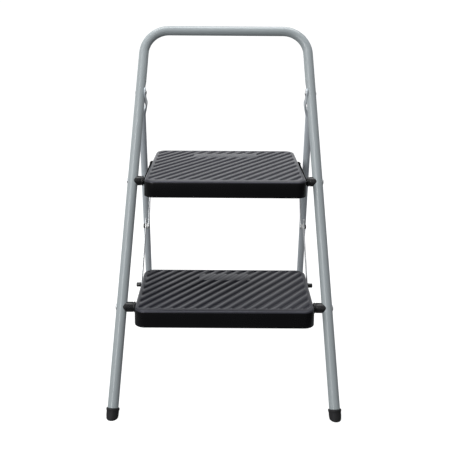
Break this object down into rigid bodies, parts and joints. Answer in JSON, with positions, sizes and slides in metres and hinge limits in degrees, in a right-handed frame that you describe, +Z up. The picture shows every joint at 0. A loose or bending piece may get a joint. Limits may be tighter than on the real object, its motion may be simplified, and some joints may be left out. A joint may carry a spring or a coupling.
{
  "type": "folding step stool",
  "caption": "Folding step stool with a lean-back hooped handle frame, ribbed treads, folding rear legs and flat side links.",
  "frame": {"origin": "on the floor, midway between the four feet front to back and side to side", "axes": "+Z up, +Y towards the rear legs, +X to the right of someone who stands in front of the steps"},
  "size_m": [0.4644, 0.5655, 0.7493],
  "materials": {
    "frame_paint": "satin",
    "zinc_steel": "satin",
    "step_plastic": "gloss",
    "black_plastic": "satin",
    "rubber": "matte",
    "white_nylon": "satin"
  },
  "bodies": {
    "frame": {"front_frame": "frame_paint", "front_foot_left": "rubber", "front_foot_right": "rubber", "upper_axle": "zinc_steel", "upper_spacer_left": "black_plastic", "upper_spacer_right": "black_plastic", "upper_axle_head_left": "zinc_steel", "upper_axle_head_right": "zinc_steel", "lower_axle": "zinc_steel", "lower_spacer_left": "black_plastic", "lower_spacer_right": "black_plastic", "lower_axle_head_left": "zinc_steel", "lower_axle_head_right": "zinc_steel", "top_rivet_left": "zinc_steel", "top_rivet_right": "zinc_steel"},
    "upper_step": {"upper_step": "step_plastic", "upper_rear_rod": "zinc_steel", "upper_rod_cap_left": "black_plastic", "upper_rod_cap_right": "black_plastic", "link_pin_left": "zinc_steel", "link_pin_right": "zinc_steel"},
    "lower_step": {"lower_step": "step_plastic", "lower_rear_rod": "zinc_steel", "lower_rod_cap_left": "black_plastic", "lower_rod_cap_right": "black_plastic"},
    "side_link_left": {"link_lower_bar_left": "zinc_steel", "link_upper_bar_left": "zinc_steel", "link_spacer_left": "white_nylon", "link_rivet_left": "zinc_steel", "link_cap_left": "black_plastic"},
    "side_link_right": {"link_lower_bar_right": "zinc_steel", "link_upper_bar_right": "zinc_steel", "link_spacer_right": "white_nylon", "link_rivet_right": "zinc_steel", "link_cap_right": "black_plastic"},
    "rear_legs": {"rear_leg_left": "frame_paint", "rear_leg_right": "frame_paint", "rear_crossbar": "frame_paint", "crossbar_bolt_left": "zinc_steel", "crossbar_bolt_right": "zinc_steel", "crossbar_plug_left": "rubber", "crossbar_plug_right": "rubber", "rear_foot_left": "rubber", "rear_foot_right": "rubber"}
  },
  "joints": [
    {"name": "upper_step_fold", "type": "hinge", "parent": "frame", "child": "upper_step", "pos_m": [0, -0.08113, 0.43008], "axis": [1, 0, 0], "range_deg": [0, 63]},
    {"name": "lower_step_fold", "type": "hinge", "parent": "frame", "child": "lower_step", "pos_m": [0, -0.18519, 0.19302], "axis": [1, 0, 0], "range_deg": [0, 63]},
    {"name": "rear_leg_fold", "type": "hinge", "parent": "frame", "child": "rear_legs", "pos_m": [0, -0.00303, 0.608], "axis": [1, 0, 0], "range_deg": [-39.5, 0]},
    {"name": "side_link_turn_left", "type": "hinge", "parent": "upper_step", "child": "side_link_left", "pos_m": [0, 0.06487, 0.41608], "axis": [1, 0, 0], "range_deg": [-63, 0]},
    {"name": "side_link_turn_right", "type": "hinge", "parent": "upper_step", "child": "side_link_right", "pos_m": [0, 0.06487, 0.41608], "axis": [1, 0, 0], "range_deg": [-63, 0]}
  ],
  "couplings": [
    {"joint": "lower_step_fold", "follows": "upper_step_fold", "ratio": 1},
    {"joint": "rear_leg_fold", "follows": "upper_step_fold", "ratio": -0.62698},
    {"joint": "side_link_turn_left", "follows": "upper_step_fold", "ratio": -1},
    {"joint": "side_link_turn_right", "follows": "upper_step_fold", "ratio": -1}
  ]
}
